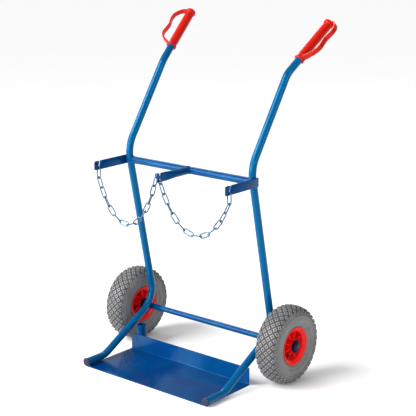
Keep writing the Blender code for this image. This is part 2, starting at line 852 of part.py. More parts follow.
def make_chains():
    """Both chains: an end link in each outer slot, the centre link, and the links between."""
    left, right = end_link_centre(-1), end_link_centre(1)
    for label, centre in (("left", left), ("right", right)):
        make_link(f"end_link_{label}", centre, (0, 0, 1), (1, 0, 0), ZINC)
    centre = Vector((CENTRE_LINK_AT[0], MIDDLE_SLOT_FOOT, CENTRE_LINK_AT[1]))
    along = Vector((-math.cos(CENTRE_LINK_TILT), 0, math.sin(CENTRE_LINK_TILT)))
    below = Vector((-along.z, 0, along.x))
    make_link("centre_link", centre, along, below, ZINC)
    to_bend = along * (LINK_INNER_LENGTH - LINK_INNER_WIDTH) / 2
    pulls = [Vector((-math.cos(a), 0, -math.sin(a))) for a in CHAIN_PULLS]
    upper = hooked_joint(centre + to_bend, below, pulls[0])
    lower = hooked_joint(centre - to_bend, pulls[1], pulls[1])
    down = Vector((0, 0, -link_pitch() / 2))
    make_hanging_links("left", left + down, upper, LEFT_LINKS, 0)
    make_hanging_links("right", lower, right + down, RIGHT_LINKS, RIGHT_CHAIN_TURN)


# ---------------------------------------------------------------- build
clear_scene()
PARTS = make_collection("oxy_acetylene_torch_cart")
CUTTERS = make_collection("cutters")
BLUE = make_material("powder_coat_blue", (0.002, 0.085, 0.265), 0.30)
GRIP_RED = make_material("grip_red", (0.560, 0.010, 0.006), 0.40)
RIM_RED = make_material("rim_red", (0.560, 0.010, 0.006), 0.38)
RUBBER = make_material("tyre_grey", (0.180, 0.180, 0.185), 0.80)
BLACK_RUBBER = make_material("valve_black", (0.020, 0.020, 0.022), 0.70)
BLACK_PLASTIC = make_material("bush_black", (0.015, 0.017, 0.025), 0.45)
PLUG_BLACK = make_material("plug_dark", (0.060, 0.050, 0.085), 0.55)
CAP_BLACK = make_material("cap_black", (0.010, 0.012, 0.025), 0.20)
ZINC = make_material("zinc_chain", (0.250, 0.320, 0.380), 0.35, 1.0)

for SIDE, LABEL in ((-1, "left"), (1, "right")):
    make_side_tube(SIDE, LABEL)
    make_flat_arm(SIDE, LABEL)
    make_end_plug(SIDE, LABEL)
    make_grip(SIDE, LABEL)
    make_wheel(SIDE, LABEL)
make_middle_arm(make_crossbar())
make_axle()
make_toe_plate()
make_rod_holder()
make_chains()

for ITEM in [*PARTS.objects, *CUTTERS.objects]:
    if ITEM.parent is None:
        ITEM.matrix_basis = Matrix.Translation((0.0, AXLE_SETBACK, 0.0)) @ ITEM.matrix_basis
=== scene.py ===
"""Looks of the two-bottle torch cart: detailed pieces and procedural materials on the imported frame."""

import math

import bpy
import numpy as np
from mathutils import Matrix, Vector


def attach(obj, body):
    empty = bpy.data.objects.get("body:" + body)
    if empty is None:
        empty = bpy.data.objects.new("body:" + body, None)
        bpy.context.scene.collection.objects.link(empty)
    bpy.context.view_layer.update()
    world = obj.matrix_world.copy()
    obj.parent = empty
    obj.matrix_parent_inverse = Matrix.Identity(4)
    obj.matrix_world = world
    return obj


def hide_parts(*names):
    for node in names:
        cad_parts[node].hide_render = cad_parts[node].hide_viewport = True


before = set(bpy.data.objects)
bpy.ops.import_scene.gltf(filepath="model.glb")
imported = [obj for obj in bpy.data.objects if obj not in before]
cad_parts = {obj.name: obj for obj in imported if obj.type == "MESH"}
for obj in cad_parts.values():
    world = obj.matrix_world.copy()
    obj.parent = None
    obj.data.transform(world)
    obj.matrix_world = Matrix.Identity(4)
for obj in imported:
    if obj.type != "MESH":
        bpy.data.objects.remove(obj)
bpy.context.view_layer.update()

SIDES = {"left": -1, "right": 1}
SIDE_VIEW = ((0, 1, 0), (0, 0, 1), (1, 0, 0))  # the axes of a side view drawing: y, z, and x through it
AXLE_Y = 0.0317  # where the wheel axis is in the frame; every other y below is measured from it

TUBE = 0.0125  # radius of the side tubes and the crossbar
TRACK = 0.262  # x of the side tubes
FRONT = -0.326  # the front end of the skids and of the toe plate
SKID_Z = 0.0158
SKID_BEND = (-0.240, SKID_Z)
LOWER_BEND = (0.014, 0.155)
UPPER_BEND = (-0.106, 0.721)
HANDLE_FOOT = (0.075, 0.996)
HANDLE_TOP = (0.255, 1.1415)
HANDLE_SPLAY = 0.031
BEND_RADII = (0.080, 0.088, 0.100, 0.100)

ARM_Z = 0.6775
ARM_HALF = 0.015  # half the height of the arms
ARM_BACK = -0.0915
ARM_TIP = -0.252
FLAT_ARM = 0.005
JOINT_GAP = 0.0003  # between welded parts, as in the solids
BEAD_LIFT = 0.0004  # how far a weld bead's centre is off the surface
BEAD_STEPS = 40

PLATE_BACK = -0.103
PLATE_WIDTH = 0.52
ROD_X = -0.230
ROD_RADIUS = 0.016

WHEEL_X = 0.332
WHEEL_R = 0.130
VALVE_ANGLE = {"left": 193, "right": 225}
LINK_LENGTH = 0.0347  # inside a chain link
WIRE = 0.0043


def at(x, y, z):
    """A point given with y from the wheel axis."""
    return Vector((x, y + AXLE_Y, z))


# ------------------------------------------------------------------ materials
class Shader:
    """A material with a Principled shader and small helpers that add nodes to it."""

    def __init__(self, name, colour, roughness, metallic=0.0, specular=0.5):
        self.material = bpy.data.materials.new(name)
        self.material.use_nodes = True
        self.tree = self.material.node_tree
        self.bsdf = self.tree.nodes["Principled BSDF"]
        self.set("Base Color", (*colour, 1.0))
        self.set("Roughness", roughness)
        self.set("Metallic", metallic)
        self.set("Specular IOR Level", specular)
        self.coords = self.tree.nodes.new("ShaderNodeTexCoord").outputs["Object"]

    def set(self, socket, value):
        self.bsdf.inputs[socket].default_value = value

    def noise(self, scale, detail=3.0, stretch=None, distortion=0.0):
        """Noise over the object, with features about 1 / scale metres across."""
        node = self.tree.nodes.new("ShaderNodeTexNoise")
        node.inputs["Scale"].default_value = scale
        node.inputs["Detail"].default_value = detail
        node.inputs["Distortion"].default_value = distortion
        source = self.coords
        if stretch:
            mapping = self.tree.nodes.new("ShaderNodeMapping")
            mapping.inputs["Scale"].default_value = stretch
            self.tree.links.new(self.coords, mapping.inputs["Vector"])
            source = mapping.outputs["Vector"]
        self.tree.links.new(source, node.inputs["Vector"])
        return node.outputs["Fac"]

    def ramp(self, source, stops):
        """A colour ramp; each stop is (position, grey level or colour)."""
        node = self.tree.nodes.new("ShaderNodeValToRGB")
        elements = node.color_ramp.elements
        while len(elements) < len(stops):
            elements.new(0.5)
        for element, (place, value) in zip(elements, stops):
            element.position = place
            element.color = (*value, 1.0) if isinstance(value, tuple) else (value, value, value, 1.0)
        self.tree.links.new(source, node.inputs["Fac"])
        return node.outputs["Color"]

    def mix(self, factor, first, second):
        """Mixes two colours or colour outputs by a factor output."""
        node = self.tree.nodes.new("ShaderNodeMix")
        node.data_type = "RGBA"
        sockets = [node.inputs["Factor"], node.inputs[6], node.inputs[7]]
        for socket, value in zip(sockets, (factor, first, second)):
            if isinstance(value, tuple):
                socket.default_value = (*value, 1.0)
            else:
                self.tree.links.new(value, socket)
        return node.outputs[2]

    def into(self, output, socket):
        self.tree.links.new(output, self.bsdf.inputs[socket])

    def bump(self, *layers):
        """Adds (height output, distance in metres, strength) layers, one over the other."""
        below = None
        for height, distance, strength in layers:
            node = self.tree.nodes.new("ShaderNodeBump")
            node.inputs["Distance"].default_value = distance
            node.inputs["Strength"].default_value = strength
            self.tree.links.new(height, node.inputs["Height"])
            if below:
                self.tree.links.new(below, node.inputs["Normal"])
            below = node.outputs["Normal"]
        self.into(below, "Normal")


def powder_coat(name, colour, deep, dull, specular):
    """Gloss blue powder coat: orange peel and slight changes of shade and gloss."""
    m = Shader(name, colour, dull, specular=specular)
    m.set("Specular Tint", (0.12, 0.65, 1.0, 1.0))
    m.into(m.ramp(m.noise(9.0, 2.0), [(0.35, deep), (0.65, colour)]), "Base Color")
    m.into(m.ramp(m.noise(40.0, 3.0), [(0.3, dull), (0.7, dull + 0.04)]), "Roughness")
    m.bump((m.noise(520.0, 2.0), 0.00003, 0.08))
    return m.material


def moulded_red(name, colour, deep, grain):
    """Glossy moulded red plastic with a fine grain."""
    m = Shader(name, colour, 0.30, specular=0.20)
    m.into(m.ramp(m.noise(14.0, 2.0), [(0.3, deep), (0.7, colour)]), "Base Color")
    m.into(m.ramp(m.noise(70.0, 3.0), [(0.3, 0.24), (0.7, 0.36)]), "Roughness")
    m.set("Subsurface Weight", 0.04)
    m.set("Subsurface Radius", (0.004, 0.001, 0.001))
    m.bump((m.noise(grain, 2.0), 0.00015, 0.30))
    return m.material


def grey_rubber(name, shade, roughness):
    """Grey tyre rubber, chalky, with light specks."""
    m = Shader(name, (shade, shade, shade * 1.02), roughness, specular=0.35)
    dark, light = ((shade * k, shade * k, shade * k * 1.02) for k in (0.85, 1.15))
    base = m.ramp(m.noise(22.0, 5.0), [(0.3, dark), (0.7, light)])
    speck = m.ramp(m.noise(900.0, 2.0), [(0.62, 0.0), (0.72, 0.35)])
    m.into(m.mix(speck, base, (shade * 1.6, shade * 1.6, shade * 1.55)), "Base Color")
    m.into(m.ramp(m.noise(120.0, 3.0), [(0.3, roughness - 0.12), (0.7, roughness + 0.10)]), "Roughness")
    m.bump((m.noise(1400.0, 3.0), 0.00012, 0.40), (m.noise(150.0, 2.0), 0.0003, 0.15))
    return m.material


def dark_plastic(name, colour, roughness, grain=700.0, specular=0.3):
    """Dark moulded plastic or rubber with a fine grain."""
    m = Shader(name, colour, roughness, specular=specular)
    lighter = tuple(c * 1.6 for c in colour)
    m.into(m.ramp(m.noise(60.0, 3.0), [(0.3, colour), (0.75, lighter)]), "Base Color")
    m.into(m.ramp(m.noise(90.0), [(0.3, roughness - 0.07), (0.7, roughness + 0.07)]), "Roughness")
    m.bump((m.noise(grain, 2.0), 0.0001, 0.30))
    return m.material


def zinc_steel(name, dull, bright, roughness):
    """Zinc plate with duller patches and fine drawn scratches."""
    m = Shader(name, bright, roughness, metallic=1.0)
    patches = m.ramp(m.noise(170.0, 4.0, distortion=0.6), [(0.35, dull), (0.65, bright)])
    m.into(patches, "Base Color")
    m.into(m.ramp(m.noise(420.0, 3.0), [(0.3, roughness - 0.08), (0.7, roughness + 0.10)]), "Roughness")
    m.bump((m.noise(700.0, 3.0, stretch=(1.0, 1.0, 0.3)), 0.0001, 0.35))
    return m.material


def studio_paint():
    """The plain pale floor."""
    m = Shader("studio_floor", (0.93, 0.93, 0.93), 0.75, specular=0.10)
    m.into(m.ramp(m.noise(3.0, 2.0), [(0.3, 0.925), (0.7, 0.935)]), "Base Color")
    m.bump((m.noise(60.0), 0.0002, 0.05))
    return m.material


TUBE_BLUE = powder_coat("powder_blue", (0.0003, 0.076, 0.205), (0.0001, 0.067, 0.187), 0.06, 0.45)
# The same blue paint as the tubes, painted darker as shade, for the plate, the rod holder, the arms, the
# crossbar and the axle.
SHADED_SHEET_BLUE = powder_coat("powder_blue_sheet_painted_shade", (0.0003, 0.047, 0.166), (0.0001, 0.031, 0.136), 0.13, 0.26)
GRIP_RED = moulded_red("grip_red", (0.490, 0.008, 0.002), (0.430, 0.005, 0.001), 900.0)
RIM_RED = moulded_red("rim_red", (0.820, 0.008, 0.006), (0.720, 0.005, 0.004), 500.0)
RUBBER = grey_rubber("tyre_rubber", 0.165, 0.60)
# The tread blocks' tops: lighter rubber, painted light.
LIT_TREAD_RUBBER = grey_rubber("tread_rubber_painted_light", 0.200, 0.38)
# The grooves and hollows of the tread: darker rubber, painted shade.
SHADED_GROOVE_RUBBER = grey_rubber("groove_rubber_painted_shade", 0.070, 0.75)
BLACK_RUBBER = dark_plastic("valve_rubber", (0.012, 0.012, 0.015), 0.55)
HUB_BLACK = dark_plastic("hub_black", (0.003, 0.004, 0.026), 0.40, specular=0.04)
CAP_BLACK = dark_plastic("cap_black", (0.003, 0.004, 0.026), 0.22, grain=300.0, specular=0.20)
PLUG = dark_plastic("plug_plastic", (0.016, 0.014, 0.036), 0.42, specular=0.2)
CHAIN = zinc_steel("chain_zinc", (0.040, 0.095, 0.150), (0.140, 0.240, 0.340), 0.32)


# ------------------------------------------------------------------ mesh helpers
def piece(name, verts, faces, material, body, *replaced, smooth=40):
    """A new mesh piece that rides on a body and stands for the given CAD nodes."""
    mesh = bpy.data.meshes.new(name)
    mesh.from_pydata([tuple(v) for v in verts], [], faces)
    mesh.materials.append(material)
    mesh.update()
    mesh.shade_smooth()
    mesh.set_sharp_from_angle(angle=math.radians(smooth))
    item = bpy.data.objects.new(name, mesh)
    bpy.context.scene.collection.objects.link(item)
    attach(item, body)
    if replaced:
        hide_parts(*replaced)
    return item


def rounded_path(corners, radii, step=0.006):
    """The corners joined by straight runs and arcs of the given radii."""
    points = [Vector(corners[0])]
    for index, radius in enumerate(radii, start=1):
        corner = Vector(corners[index])
        before = (Vector(corners[index - 1]) - corner).normalized()
        after = (Vector(corners[index + 1]) - corner).normalized()
        half = before.angle(after) / 2
        centre = corner + (before + after).normalized() * radius / math.sin(half)
        start = corner + before * radius / math.tan(half) - centre
        axis = start.cross(corner - centre).normalized()
        turn = math.pi - 2 * half
        count = max(4, round(turn * radius / step))
        for i in range(count + 1):
            points.append(centre + Matrix.Rotation(turn * i / count, 3, axis) @ start)
    points.append(Vector(corners[-1]))
    return points


def smooth_line(points, steps):
    """A Catmull-Rom line through the points."""
    padded = [points[0], *points, points[-1]]
    line = []
    for a, b, c, d in zip(padded, padded[1:], padded[2:], padded[3:]):
        a, b, c, d = (np.array(p, float) for p in (a, b, c, d))
        for i in range(steps):
            t = i / steps
            cubic = 3 * b - a - 3 * c + d
            line.append(0.5 * (2 * b + (c - a) * t + (2 * a - 5 * b + 4 * c - d) * t**2 + cubic * t**3))
    line.append(np.array(points[-1], float))
    return line


def sweep(path, section, closed=False, scales=None, side=None):
    """A section of (a, b) points carried along a path; returns vertices and faces."""
    path = [Vector(p) for p in path]
    count = len(path)
    verts, faces = [], []
    reference = Vector(side) if side else None
    for i, point in enumerate(path):
        ahead = path[(i + 1) % count] if closed or i < count - 1 else point
        behind = path[i - 1] if closed or i > 0 else point
        along = (ahead - behind).normalized()
        if reference is None:
            reference = along.orthogonal()
        across = (reference - along * reference.dot(along)).normalized()
        if not side:
            reference = across
        third = along.cross(across)
        scale = scales[i] if scales else 1.0
        verts += [point + (across * a + third * b) * scale for a, b in section]
    ring = len(section)
    for i in range(count if closed else count - 1):
        for j in range(ring):
            a, b = i * ring + j, i * ring + (j + 1) % ring
            c, d = (a + ring) % len(verts), (b + ring) % len(verts)
            faces.append((a, b, d, c))
    if not closed:
        faces.append(tuple(range(ring))[::-1])
        faces.append(tuple(range(len(verts) - ring, len(verts))))
    return verts, faces


def circle(radius, sides):
    """Points round a circle."""
    angles = [2 * math.pi * i / sides for i in range(sides)]
    return [(radius * math.cos(a), radius * math.sin(a)) for a in angles]


def rounded_box(width, height, radius, steps=4):
    """A rounded rectangle section."""
    points = []
    for k, (sx, sy) in enumerate(((1, 1), (-1, 1), (-1, -1), (1, -1))):
        cx, cy = sx * (width / 2 - radius), sy * (height / 2 - radius)
        for i in range(steps + 1):
            a = math.pi / 2 * (k + i / steps)
            points.append((cx + radius * math.cos(a), cy + radius * math.sin(a)))
    return points


def lathe(profile, steps, matrix=None, closed=True):
    """(radius, height) points turned about Z; on an open profile both ends are on the axis."""
    verts, faces = [], []
    count = len(profile)
    for i in range(steps):
        a = 2 * math.pi * i / steps
        verts += [Vector((r * math.cos(a), r * math.sin(a), z)) for r, z in profile]
    for i in range(steps):
        k = (i + 1) % steps
        for j in range(count if closed else count - 1):
            n = (j + 1) % count
            quad = [i * count + j, k * count + j, k * count + n, i * count + n]
            if profile[j][0] < 1e-7:
                quad.pop(1)
            elif profile[n][0] < 1e-7:
                quad.pop(2)
            faces.append(tuple(quad))
    if matrix:
        verts = [matrix @ v for v in verts]
    return verts, faces


def join(*parts):
    """Several (verts, faces) as one."""
    verts, faces = [], []
    for part_verts, part_faces in parts:
        offset = len(verts)
        verts += list(part_verts)
        faces += [tuple(offset + i for i in face) for face in part_faces]
    return verts, faces


def soften(profile, radius, steps=3):
    """Rounds the corners of a closed flat profile."""
    points = []
    count = len(profile)
    for i in range(count):
        before, here, after = (Vector(profile[(i + k) % count]) for k in (-1, 0, 1))
        reach = min(radius, (before - here).length * 0.45, (after - here).length * 0.45)
        start = here + (before - here).normalized() * reach
        end = here + (after - here).normalized() * reach
        for k in range(steps + 1):
            t = k / steps
            points.append(tuple(start * (1 - t) ** 2 + here * 2 * t * (1 - t) + end * t**2))
    return points


def arc(centre, radius, start, end, steps):
    """Points on an arc between two angles in degrees."""
    angles = [math.radians(start + (end - start) * i / steps) for i in range(steps + 1)]
    return [(centre[0] + radius * math.cos(a), centre[1] + radius * math.sin(a)) for a in angles]


def loft(rings, open_start=False):
    """Rings of equally many points joined in order, closed at both ends or only at the last."""
    verts = [point for ring in rings for point in ring]
    count = len(rings[0])
    faces = []
    for k in range(len(rings) - 1):
        for i in range(count):
            j = (i + 1) % count
            faces.append((k * count + i, k * count + j, (k + 1) * count + j, (k + 1) * count + i))
    if not open_start:
        faces.append(tuple(range(count))[::-1])
    faces.append(tuple(range(len(verts) - count, len(verts))))
    return verts, faces


def axes(origin, x_axis, y_axis, z_axis):
    """The matrix of a place with the given axes."""
    matrix = Matrix.Identity(4)
    for index, column in enumerate((x_axis, y_axis, z_axis, origin)):
        matrix.col[index].xyz = Vector(column)
    return matrix


def slab(outline, thickness, matrix, bevel=0.0006):
    """A flat outline with softened edges, as a plate in the matrix's XY plane."""
    area = sum(a[0] * b[1] - b[0] * a[1] for a, b in zip(outline, outline[1:] + outline[:1]))
    points = [Vector(p) for p in (outline if area > 0 else outline[::-1])]
    count = len(points)
    insets = []
    for i, here in enumerate(points):
        along = (points[(i + 1) % count] - points[i - 1]).normalized()
        insets.append(here + Vector((-along.y, along.x)) * bevel)
    shoulder = [p * 0.7 + q * 0.3 for p, q in zip(points, insets)]
    half = thickness / 2
    levels = [(insets, half), (shoulder, half - bevel * 0.3), (points, half - bevel)]
    loops = [(ring, -z) for ring, z in levels] + levels[::-1]
    return loft([[matrix @ Vector((p.x, p.y, z)) for p in ring] for ring, z in loops])


def weld(path, radius=0.0019, closed=False):
    """A weld bead: a thin bar with overlapping ripples along a path."""
    step = 0.0007
    dense = [Vector(path[0])]
    ends = path[1:] + ([path[0]] if closed else [])
    for end in ends:
        start, end = dense[-1], Vector(end)
        count = max(1, round((end - start).length / step))
        dense += [start.lerp(end, (i + 1) / count) for i in range(count)]
    if closed:
        dense.pop()
    ripples = 4
    scales = [0.86 + 0.16 * (i % ripples) / ripples + 0.05 * math.sin(i * 0.37) for i in range(len(dense))]
    if not closed:
        scales[0] = scales[-1] = 0.35
    return sweep(dense, circle(radius, 8), closed=closed, scales=scales)


# ------------------------------------------------------------------ frame
def side_corners(side):
    """The corners of a side tube's centre line, from the skid's end to the handle's end."""
    bends = [(FRONT, SKID_Z), SKID_BEND, LOWER_BEND, UPPER_BEND, HANDLE_FOOT]
    return [at(side * TRACK, y, z) for y, z in bends] + [at(side * (TRACK + HANDLE_SPLAY), *HANDLE_TOP)]


def tube_y(z):
    """y of the side tubes' middle run at a height."""
    low_y, low_z = LOWER_BEND
    high_y, high_z = UPPER_BEND
    return low_y + (z - low_z) / (high_z - low_z) * (high_y - low_y)


def middle_run():
    """The direction of the side tubes' middle run, downwards."""
    return (at(0, *LOWER_BEND) - at(0, *UPPER_BEND)).normalized()


def tube_reach(offset):
    """How far a tube's surface stands out, at an offset across from its centre line."""
    return math.sqrt(max(TUBE**2 - min(abs(offset), TUBE) ** 2, 0.0))


def side_tubes():
    for label, side in SIDES.items():
        path = rounded_path(side_corners(side), BEND_RADII)
        verts, faces = sweep(path, circle(TUBE, 32), side=(side, 0, 0))
        piece(f"tube_{label}", verts, faces, TUBE_BLUE, "frame", f"frame_tube_{label}")


def bar_across(name, centre, radius, half, node, chamfer=0.0012):
    """A round bar along X with chamfered ends."""
    profile = [(0, -half), (radius - chamfer, -half), (radius, chamfer - half)]
    profile += [(radius, half - chamfer), (radius - chamfer, half), (0, half)]
    verts, faces = lathe(profile, 32, axes(centre, *SIDE_VIEW), closed=False)
    piece(name, verts, faces, SHADED_SHEET_BLUE, "frame", node)


def saddle(side, centre, radius):
    """The line where a bar along X meets a side tube's middle run."""
    along = middle_run()
    across = Vector((0, -along.z, along.y))
    points = []
    for y, z in circle(radius, BEAD_STEPS):
        offset = Vector((0, y, z))
        x = side * (TRACK - tube_reach(offset.dot(across)))
        points.append(centre + offset + Vector((x, 0, 0)))
    return points


def axle_beads(axle, side):
    """Two short weld beads over the axle, one at each flank of a side tube."""
    radius, first, step, middle = 0.0112, 62, 9, 4
    beads = []
    for flank in (-0.0105, 0.0105):
        path = []
        for i in range(2 * middle + 1):
            a = math.radians(first + i * step)
            x = side * TRACK + flank * (1 - 0.10 * abs(i - middle))
            path.append(axle + Vector((x, radius * math.cos(a), radius * math.sin(a))))
        beads.append(weld(path, 0.0022))
    return beads


def cross_pieces():
    """The crossbar and the axle, with their welds to the side tubes."""
    centre = at(0, tube_y(ARM_Z), ARM_Z)
    bar_across("crossbar_bar", centre, TUBE, TRACK - 0.004, "crossbar")
    axle = at(0, 0, WHEEL_R)
    bar_across("axle_bar", axle, 0.010, 0.3735, "axle_shaft", 0.0018)
    beads = [weld(saddle(side, centre, TUBE + BEAD_LIFT), closed=True) for side in SIDES.values()]
    for side in SIDES.values():
        beads += axle_beads(axle, side)
    verts, faces = join(*beads)
    piece("frame_welds", verts, faces, TUBE_BLUE, "frame", smooth=70)


# ------------------------------------------------------------------ arms
def flat_arm_outline():
    """The side of an outer arm: small back corners, a round nose, and a leaning slot for the chain."""
    top, corner, lip, nose = ARM_HALF, 0.0015, 0.001, 0.006
    half, lean = 0.00325, math.tan(math.radians(14))
    foot_y, foot = -0.233, top - 0.024 + half
    middle = foot_y + (top - foot) * lean
    outline = [(ARM_BACK, -top)] + arc((ARM_BACK, corner - top), corner, -90, 0, 3)
    outline += arc((ARM_BACK, top - corner), corner, 0, 90, 3)
    outline += [(middle + half + lip, top), (middle + half, top - lip)]
    outline += arc((foot_y, foot), half, 0, -180, 10)
    outline += [(middle - half, top - lip), (middle - half - lip, top)]
    outline += arc((ARM_TIP + nose, top - nose), nose, 90, 180, 8)
    outline += arc((ARM_TIP + nose, nose - top), nose, 180, 270, 8)
    return outline


def flat_arms():
    """The outer arms and the beads that hold them to the side tubes."""
    outline = flat_arm_outline()
    reach = middle_run() * 0.0145
    beads = []
    for label, side in SIDES.items():
        x = side * (TRACK + TUBE + JOINT_GAP + FLAT_ARM / 2)
        verts, faces = slab(outline, FLAT_ARM, axes(at(x, 0, ARM_Z), *SIDE_VIEW))
        piece(f"arm_bar_{label}", verts, faces, SHADED_SHEET_BLUE, "frame", f"arm_{label}", smooth=30)
        for shift in (-0.0048, 0.0048):
            middle = at(side * (TRACK + TUBE - BEAD_LIFT), tube_y(ARM_Z) + shift, ARM_Z)
            beads.append(weld([middle + reach, middle - reach], 0.0021))
    verts, faces = join(*beads)
    piece("arm_welds", verts, faces, SHADED_SHEET_BLUE, "frame", smooth=70)


# The middle arm from the crossbar to its tip: y, half width, half height, and a power that is 1 for
# an ellipse and lower for a squarer ring.
MIDDLE_ARM = [
    (tube_y(ARM_Z) - 0.006, TUBE, TUBE, 1.0),
    (-0.176, TUBE, TUBE, 1.0),
    (-0.184, 0.0116, 0.0129, 0.95),
    (-0.192, 0.0094, 0.0136, 0.88),
    (-0.199, 0.0068, 0.0142, 0.78),
    (-0.206, 0.0046, 0.0147, 0.66),
    (-0.213, 0.0033, 0.0150, 0.52),
    (-0.220, 0.0030, 0.0150, 0.45),
    (-0.2494, 0.0030, 0.0150, 0.45),
    (-0.2512, 0.0027, 0.0143, 0.45),
    (ARM_TIP, 0.0020, 0.0130, 0.45),
]


def squarish_ring(y, wide, tall, power, sides=40):
    """A ring of points round the middle arm at a y."""
    ring = []
    for i in range(sides):
        a = 2 * math.pi * (i + 0.5) / sides
        c, s = math.cos(a), math.sin(a)
        x = wide * math.copysign(abs(c) ** power, c)
        z = tall * math.copysign(abs(s) ** power, s)
        ring.append(at(x, y, ARM_Z + z))
    return ring


def cut(item, verts, faces):
    """Takes a closed shape out of a piece."""
    mesh = bpy.data.meshes.new("cutter")
    mesh.from_pydata([tuple(v) for v in verts], [], faces)
    cutter = bpy.data.objects.new("cutter", mesh)
    bpy.context.scene.collection.objects.link(cutter)
    modifier = item.modifiers.new("Cut", "BOOLEAN")
    modifier.object = cutter
    modifier.solver = "EXACT"
    graph = bpy.context.evaluated_depsgraph_get()
    done = bpy.data.meshes.new_from_object(item.evaluated_get(graph))
    item.modifiers.clear()
    item.data = done
    done.set_sharp_from_angle(angle=math.radians(30))
    bpy.data.objects.remove(cutter, do_unlink=True)


def middle_arm():
    """A tube pressed flat at its tip, with a slot cut down into the flat, and its weld."""
    verts, faces = loft([squarish_ring(*station) for station in MIDDLE_ARM])
    item = piece("arm_middle_tube", verts, faces, SHADED_SHEET_BLUE, "frame", "arm_middle", smooth=30)
    half, lean = 0.0045, math.radians(4)
    outline = arc((0, 0), half, 0, -180, 12) + [(-half, 0.04), (half, 0.04)]
    foot = at(0, -0.240, ARM_Z + ARM_HALF - 0.025 + half)
    across, upward = (0, math.cos(lean), -math.sin(lean)), (0, math.sin(lean), math.cos(lean))
    cut(item, *slab(outline, 0.03, axes(foot, across, upward, (1, 0, 0)), bevel=0.0001))
    ring = []
    for x, z in circle(TUBE + BEAD_LIFT, BEAD_STEPS):
        ring.append(at(x, tube_y(ARM_Z) - tube_reach(z), ARM_Z + z))
    verts, faces = weld(ring, closed=True)
    piece("arm_middle_weld", verts, faces, SHADED_SHEET_BLUE, "frame", smooth=70)


# ------------------------------------------------------------------ toe plate and rod holder
def toe_plate():
    """One folded sheet: the bed, a round fold, and the upright flange."""
    sheet, bend, top = 0.003, 0.006, 0.059
    fold = (PLATE_BACK - bend, bend)
    outline = [(FRONT, sheet), (FRONT, 0.0)] + arc(fold, bend, -90, 0, 8)
    outline += [(PLATE_BACK, top), (PLATE_BACK - sheet, top)] + arc(fold, bend - sheet, 0, -90, 8)
    verts, faces = slab(outline, PLATE_WIDTH, axes(at(0, 0, 0), *SIDE_VIEW), bevel=0.0005)
    piece("toe_plate_sheet", verts, faces, SHADED_SHEET_BLUE, "frame", "toe_plate", smooth=30)


def plate_welds():
    """Beads beside the skids, and beads up both sides of the rod holder."""
    beads = []
    for side in SIDES.values():
        x, z = side * (TRACK - 0.0070), 0.0042
        beads.append(weld([at(x, -0.318, z), at(x, -0.262, z)], 0.0022))
    for offset in (-0.0065, 0.0065):
        x, y = ROD_X + offset, PLATE_BACK + 0.0012
        beads.append(weld([at(x, y, 0.016), at(x, y, 0.056)], 0.0018))
    verts, faces = join(*beads)
    piece("plate_welds", verts, faces, SHADED_SHEET_BLUE, "frame", smooth=70)


def rod_holder():
    """A short cup with a closed bottom and an eased rim."""
    low, high, floor, bore, ease = 0.012, 0.092, 0.014, 0.014, 0.0006
    profile = [(0, floor), (bore, floor), (bore, high - ease), (bore + ease, high)]
    profile += [(ROD_RADIUS - ease, high), (ROD_RADIUS, high - ease), (ROD_RADIUS, low), (0, low)]
    place = Matrix.Translation(at(ROD_X, PLATE_BACK + JOINT_GAP + ROD_RADIUS, 0))
    verts, faces = lathe(profile, 40, place, closed=False)
    piece("rod_holder_cup", verts, faces, SHADED_SHEET_BLUE, "frame", "rod_holder")


def end_plugs():
    """Domed plastic plugs with a shank inside each skid."""
    profile = [(0, 0.0050), (0.0060, 0.0049), (0.0100, 0.0045), (0.0128, 0.0036), (0.0141, 0.0024)]
    profile += [(0.0145, 0.0012), (0.0145, 0.0004), (0.0095, 0.0004), (0.0089, -0.014), (0, -0.014)]
    for label, side in SIDES.items():
        matrix = axes(at(side * TRACK, FRONT, SKID_Z), (1, 0, 0), (0, 0, 1), (0, -1, 0))
        verts, faces = lathe(profile, 40, matrix, closed=False)
        piece(f"plug_{label}", verts, faces, PLUG, "frame", f"end_plug_{label}")


# ------------------------------------------------------------------ grips
GUARD_TURN = math.radians(-15)
# (radius, height) of the sleeve with its collar and domed head, from the handle's foot
SLEEVE = [(0.0, 0.0640), (0.0129, 0.0640), (0.0166, 0.0640), (0.0172, 0.0646), (0.0172, 0.0694)]
SLEEVE += [(0.0166, 0.0702), (0.0152, 0.0722), (0.0148, 0.0760), (0.0150, 0.0900), (0.0150, 0.2200)]
SLEEVE += [(0.0154, 0.2250), (0.0166, 0.2268), (0.0176, 0.2280), (0.0180, 0.2300), (0.0180, 0.2330)]
SLEEVE += [(0.0172, 0.2362), (0.0150, 0.2384), (0.0110, 0.2400), (0.0060, 0.2408), (0.0, 0.2410)]
# (distance out, height) of the knuckle guard's middle line, from the head down to the collar
GUARD = [(0.0110, 0.2345), (0.0270, 0.2320), (0.0390, 0.2240), (0.0495, 0.2110), (0.0530, 0.1990)]
GUARD += [(0.0532, 0.1850), (0.0505, 0.1710), (0.0488, 0.1620), (0.0495, 0.1510), (0.0515, 0.1390)]
GUARD += [(0.0538, 0.1270), (0.0538, 0.1180), (0.0510, 0.1080), (0.0440, 0.0970), (0.0290, 0.0845)]
GUARD += [(0.0110, 0.0720)]


def handle_axes(side):
    """The grip's axes: Z up the handle from its foot, X out to the knuckle guard."""
    start = at(side * TRACK, *HANDLE_FOOT)
    end = at(side * (TRACK + HANDLE_SPLAY), *HANDLE_TOP)
    along = (end - start).normalized()
    outward = Vector((side, 0, 0))
    outward = (outward - along * outward.dot(along)).normalized()
    guard = outward * math.cos(GUARD_TURN) + along.cross(outward) * math.sin(GUARD_TURN) * side
    return axes(start, guard, along.cross(guard), along)


def guard_section():
    """The guard's flat band with a raised rib along each edge."""
    limit, rib_start = 0.0028, 0.0058
    section = []
    for a, b in rounded_box(0.0160, 0.0050, 0.0016):
        rise = 0.0006 if abs(a) > rib_start else -0.0002
        section.append((a, max(-limit, min(limit, b + math.copysign(rise, b)))))
    return section


